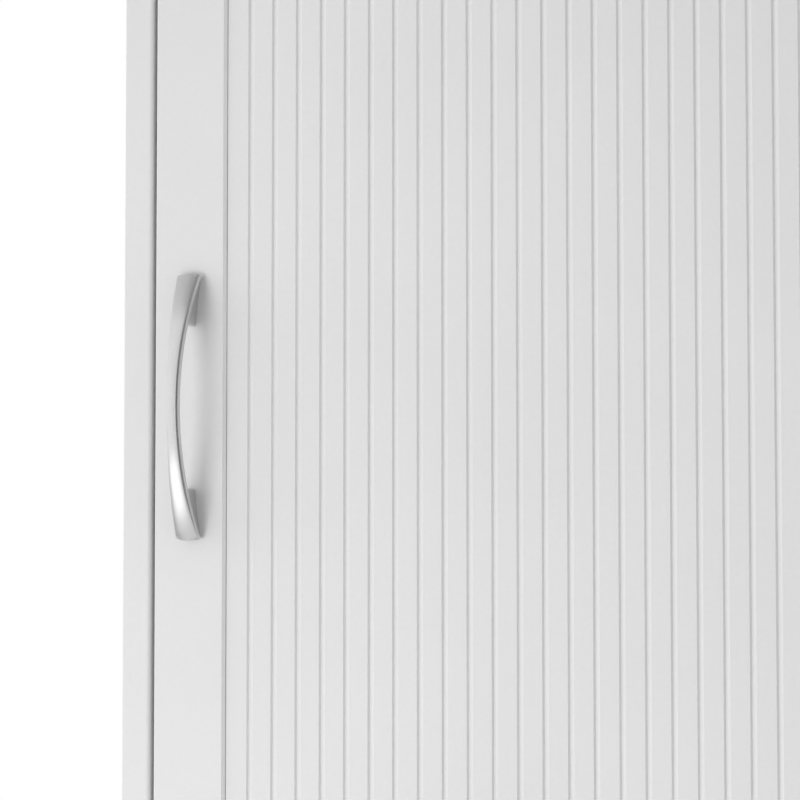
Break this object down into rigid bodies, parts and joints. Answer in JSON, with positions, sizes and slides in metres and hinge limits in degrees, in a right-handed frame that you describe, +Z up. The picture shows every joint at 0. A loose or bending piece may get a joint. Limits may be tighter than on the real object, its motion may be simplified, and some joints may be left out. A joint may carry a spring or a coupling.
{
  "type": "over the toilet cabinet",
  "caption": "Tall white cabinet that stands over a toilet: an inset grooved door with a bowed metal handle beside an open shelved bay, over an open shelf.",
  "frame": {"origin": "on the floor, under the middle of the object's box, handle included", "axes": "+X to the right as seen from the front, +Y to the wall, +Z up"},
  "size_m": [0.635, 0.246, 1.7],
  "materials": {
    "white_paint": "satin white paint on fibreboard",
    "hardboard": "hardboard, white in front and bare behind",
    "satin_nickel": "satin nickel plating",
    "plated_steel": "bright plated steel",
    "cast_zinc": "bare cast zinc",
    "white_plastic": "matt moulded plastic",
    "beech": "bare beech",
    "ferrite": "sintered ferrite"
  },
  "bodies": {
    "carcass": {"left_side_board": "white_paint", "right_side_board": "white_paint", "top_board": "white_paint", "cabinet_floor": "white_paint", "open_shelf": "white_paint", "partition": "white_paint", "back_panel": "hardboard", "wall_rail": "white_paint", "shelf_rear_rail": "white_paint", "lower_crossbar": "white_paint", "door_bay_lower_shelf": "white_paint", "door_bay_upper_shelf": "white_paint", "open_bay_lower_shelf": "white_paint", "open_bay_upper_shelf": "white_paint", "hinge_frame_leaf_lower": "plated_steel", "hinge_pin_lower": "plated_steel", "hinge_frame_leaf_upper": "plated_steel", "hinge_pin_upper": "plated_steel", "catch_housing": "white_plastic", "catch_magnet": "ferrite", "cam_locks": "cast_zinc", "cam_bolts": "plated_steel", "dowels": "beech", "cam_covers": "white_plastic", "partition_screws": "plated_steel", "back_panel_nails": "plated_steel", "foot_glides": "white_plastic", "shelf_pins": "plated_steel", "hinge_frame_screws": "plated_steel", "catch_pole_plates": "plated_steel", "catch_screws": "plated_steel"},
    "door": {"door_latch_stile": "white_paint", "door_hinge_stile": "white_paint", "door_top_rail": "white_paint", "door_bottom_rail": "white_paint", "door_panel": "white_paint", "handle": "satin_nickel", "handle_screws": "plated_steel", "hinge_door_leaf_lower": "plated_steel", "hinge_door_leaf_upper": "plated_steel", "hinge_door_screws": "plated_steel", "strike_plate": "plated_steel", "strike_screws": "plated_steel"}
  },
  "joints": [
    {"name": "door_hinge", "type": "hinge", "parent": "carcass", "child": "door", "pos_m": [0.0935, -0.0997, 1.38], "axis": [0, 0, 1], "range_deg": [0, 180]}
  ]
}
